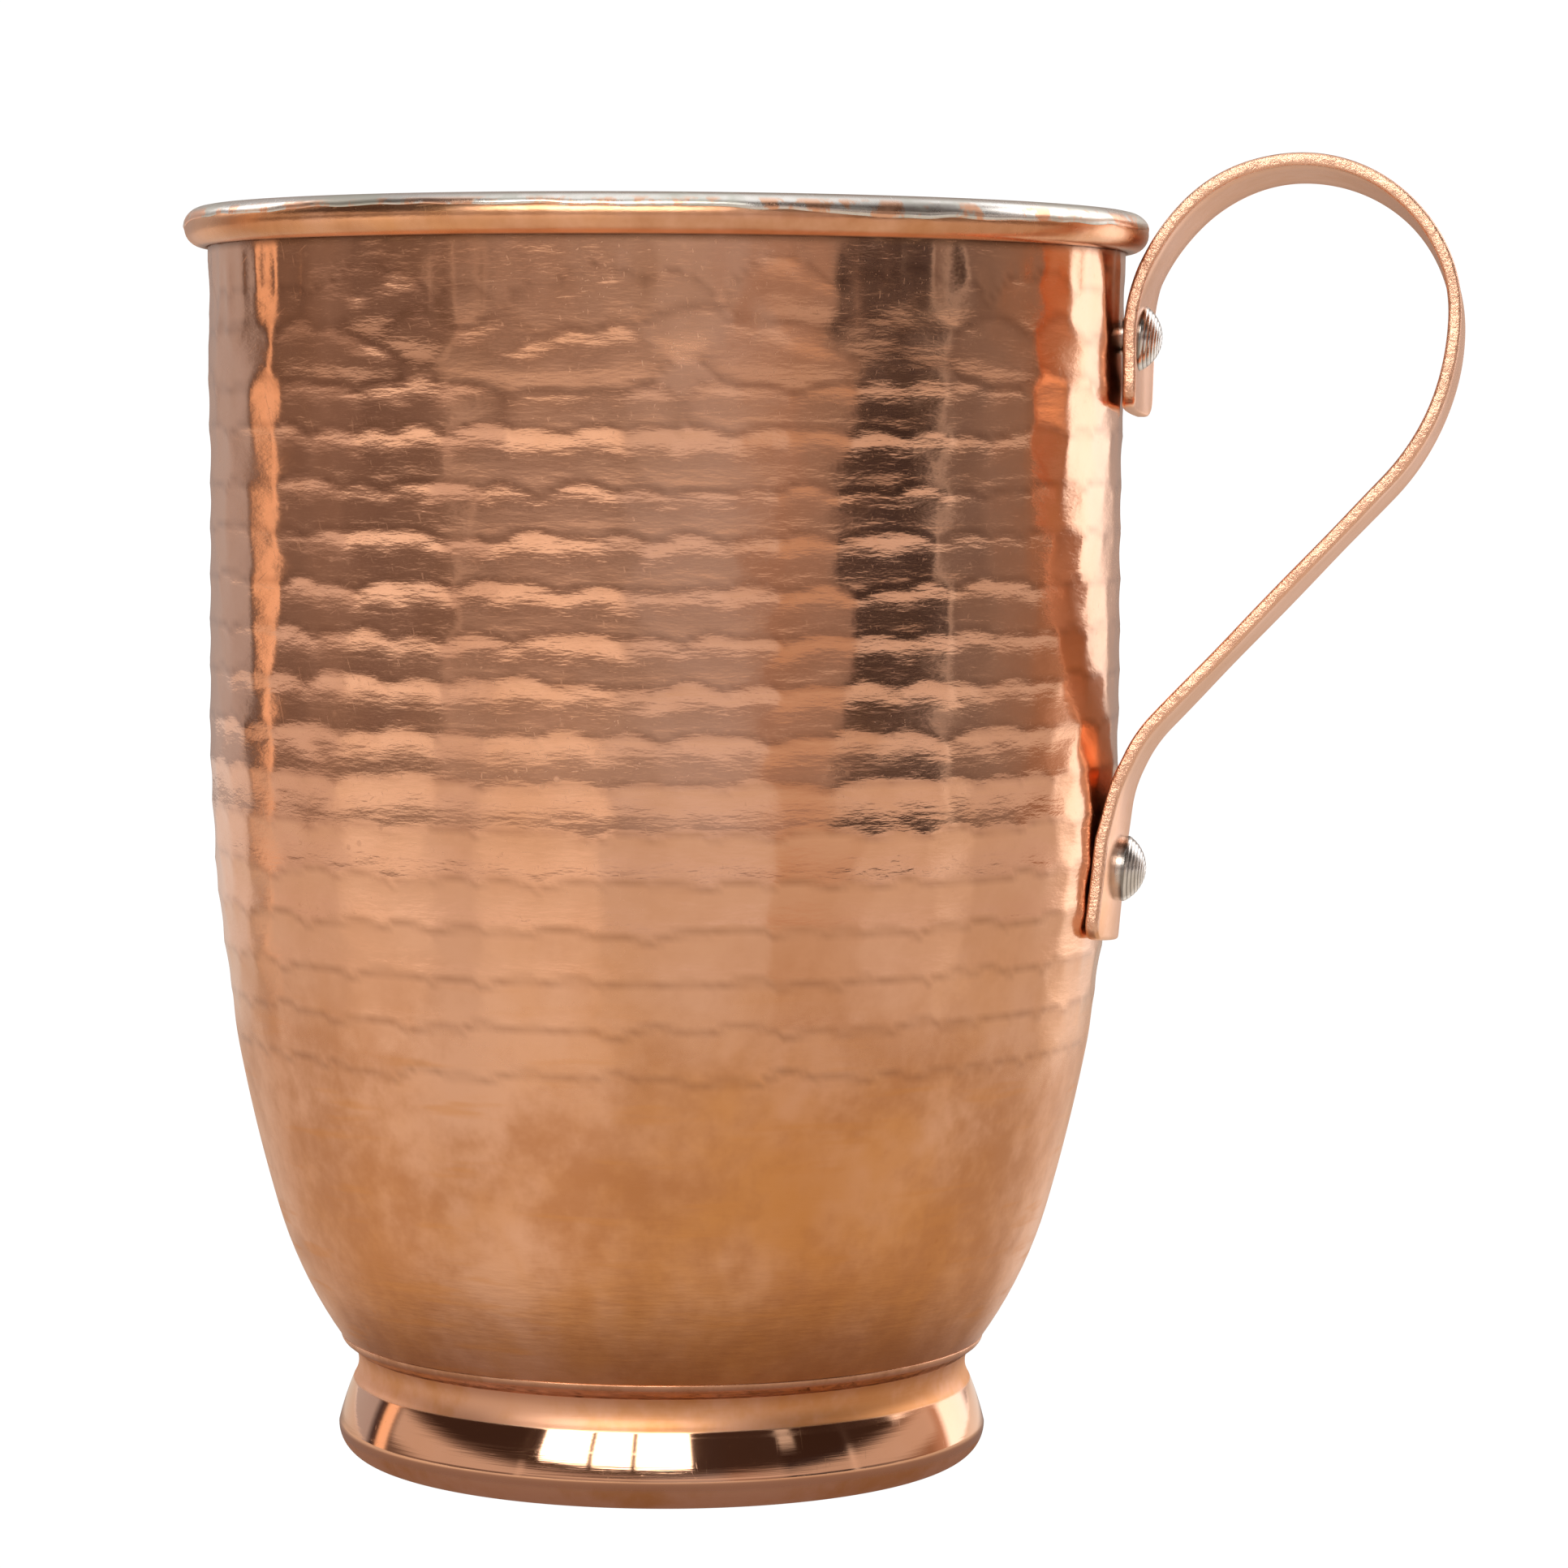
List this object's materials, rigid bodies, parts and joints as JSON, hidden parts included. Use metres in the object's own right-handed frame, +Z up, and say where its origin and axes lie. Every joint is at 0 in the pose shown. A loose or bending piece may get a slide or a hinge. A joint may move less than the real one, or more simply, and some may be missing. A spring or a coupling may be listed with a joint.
{
  "type": "copper mug",
  "caption": "Footed drinking mug of hammered copper with a rolled tinned rim, tin lining, soldered foot ring and riveted strap handle.",
  "frame": {"origin": "on the mug's axis of turning, in the plane that the foot stands on, at the mouth of the recess inside the foot ring", "axes": "+Z up along the mug's axis, +X from the axis to the handle, +Y completes a right-handed frame"},
  "size_m": [0.1219, 0.0924, 0.1251],
  "materials": {
    "hammered_copper": "hammered, polished",
    "polished_copper": "polished",
    "satin_copper": "satin",
    "tin": "wiped, satin",
    "solder": "dull",
    "rivet_metal": "turned, satin",
    "wire_steel": "drawn"
  },
  "bodies": {
    "root": {"body_shell": "hammered_copper", "rim_wire": "wire_steel", "tin_lining": "tin", "foot_ring": "polished_copper", "foot_solder": "solder", "handle_strap": "satin_copper", "upper_rivet": "rivet_metal", "lower_rivet": "rivet_metal"}
  },
  "joints": []
}
